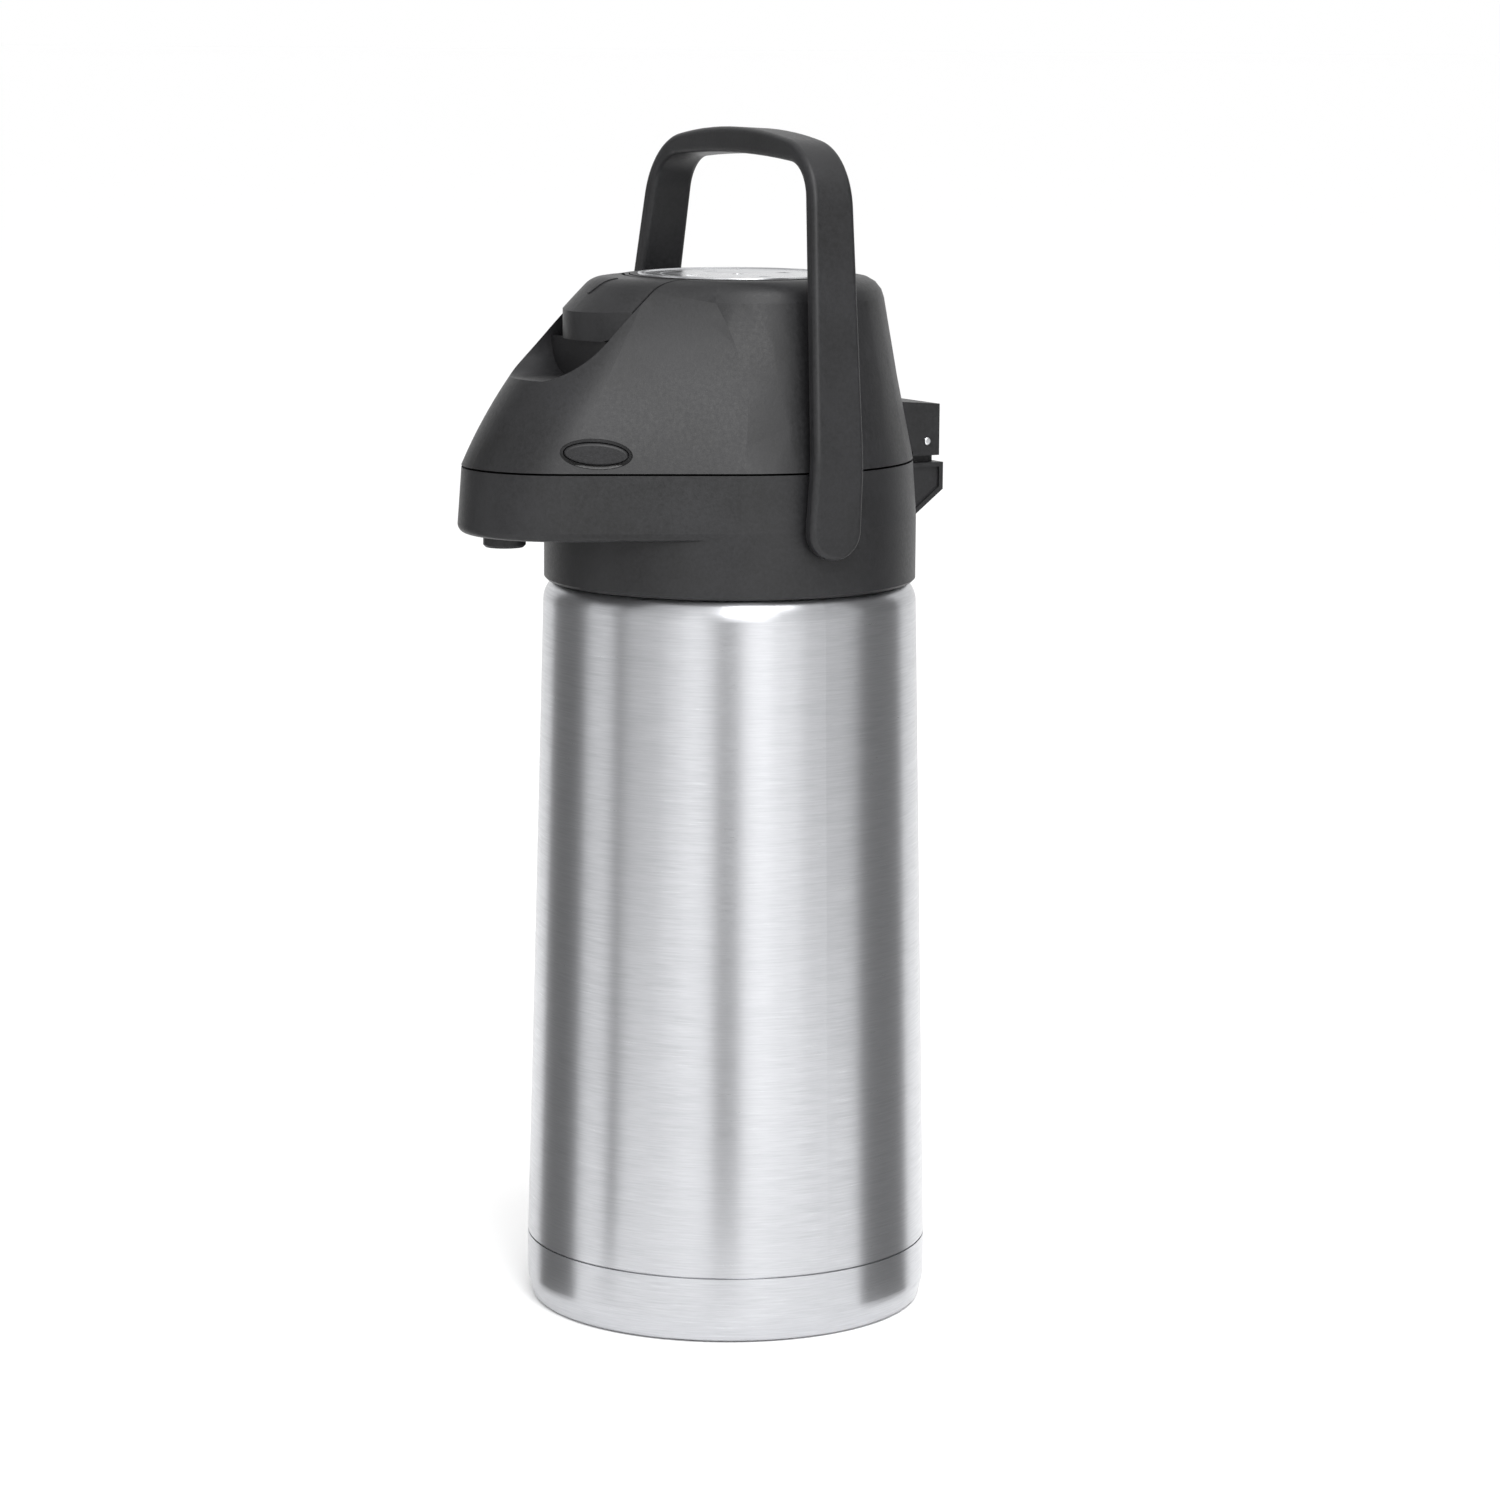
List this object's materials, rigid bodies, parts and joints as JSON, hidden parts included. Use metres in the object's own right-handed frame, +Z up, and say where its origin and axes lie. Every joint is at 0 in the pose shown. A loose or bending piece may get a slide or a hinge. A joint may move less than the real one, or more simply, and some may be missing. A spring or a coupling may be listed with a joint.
{
  "type": "thermal coffee airpot",
  "caption": "Tapered steel vacuum airpot with a black pump lid, a forward spout with a drip nozzle, a front latch tab and a tall bail handle.",
  "frame": {"origin": "middle of the flat underside of the base", "axes": "+Z up the body axis, -Y towards the spout, +Y towards the lid hinge, X across"},
  "size_m": [0.1432, 0.1794, 0.4094],
  "materials": {
    "charcoal_plastic": "fine moulded grain",
    "brushed_body_steel": "brushed round the body",
    "vessel_steel": "spun and electropolished",
    "inner_plastic": "smooth moulded",
    "seal_rubber": "silicone",
    "pin_steel": "bright drawn",
    "bush_nylon": "natural",
    "press_plate_metal": "satin"
  },
  "bodies": {
    "vessel": {"base_plate": "inner_plastic", "base_cup": "brushed_body_steel", "outer_shell": "brushed_body_steel", "outer_bottom": "vessel_steel", "inner_vessel": "vessel_steel", "vessel_floor": "vessel_steel", "getter": "pin_steel", "collar": "charcoal_plastic", "collar_gasket": "seal_rubber", "hinge_pin": "pin_steel", "neck_nut": "inner_plastic", "neck_gasket": "seal_rubber", "neck_insert": "inner_plastic", "dip_tube": "inner_plastic", "dip_tube_foot": "inner_plastic", "tube_sleeve": "seal_rubber", "outlet_pipe": "inner_plastic", "nozzle": "charcoal_plastic", "latch_keeper": "inner_plastic", "handle_stud_left": "pin_steel", "handle_stud_right": "pin_steel"},
    "lid": {"lid_dome": "charcoal_plastic", "lid_plate": "inner_plastic", "lid_seal": "seal_rubber", "lid_screws": "pin_steel", "bellows": "seal_rubber", "bellows_ring": "inner_plastic", "return_spring": "pin_steel", "outlet_flap": "seal_rubber", "latch_pin": "pin_steel"},
    "press": {"press_cap": "charcoal_plastic", "press_plate": "press_plate_metal", "inlet_flap": "seal_rubber"},
    "latch": {"latch_tab": "charcoal_plastic"},
    "left_button": {"button_left": "charcoal_plastic"},
    "right_button": {"button_right": "charcoal_plastic"},
    "handle_bushes": {"handle_bush_left": "bush_nylon", "handle_bush_right": "bush_nylon"},
    "handle": {"bail_handle": "charcoal_plastic"}
  },
  "joints": [
    {"name": "lid_open", "type": "hinge", "parent": "vessel", "child": "lid", "pos_m": [0, 0.0716, 0.3], "axis": [-1, 0, 0], "range_deg": [0, 80]},
    {"name": "press_down", "type": "slide", "parent": "lid", "child": "press", "axis": [0, 0, -1], "range_m": [0, 0.025], "stiffness_N_per_m": 600, "springref_m": -0.01, "deforming": ["bellows", "return_spring"]},
    {"name": "latch_lift", "type": "hinge", "parent": "lid", "child": "latch", "pos_m": [0, -0.0405, 0.3523], "axis": [-1, 0, 0], "range_deg": [0, 8], "stiffness_Nm_per_rad": 0.4, "springref_deg": -11.46},
    {"name": "button_left_press", "type": "slide", "parent": "lid", "child": "left_button", "axis": [0.8934, 0.4493, 0], "range_m": [0, 0.002], "stiffness_N_per_m": 800, "springref_m": -0.002},
    {"name": "button_right_press", "type": "slide", "parent": "lid", "child": "right_button", "axis": [-0.8934, 0.4493, 0], "range_m": [0, 0.002], "stiffness_N_per_m": 800, "springref_m": -0.002},
    {"name": "handle_clear", "type": "hinge", "parent": "vessel", "child": "handle_bushes", "pos_m": [0, 0, 0.2775], "axis": [1, 0, 0], "range_deg": [-110, 0]},
    {"name": "handle_swing", "type": "hinge", "parent": "handle_bushes", "child": "handle", "pos_m": [0, 0, 0.2775], "axis": [1, 0, 0], "range_deg": [-95, 98]}
  ],
  "couplings": [
    {"joint": "handle_clear", "follows": "lid_open", "ratio": -1.35}
  ]
}
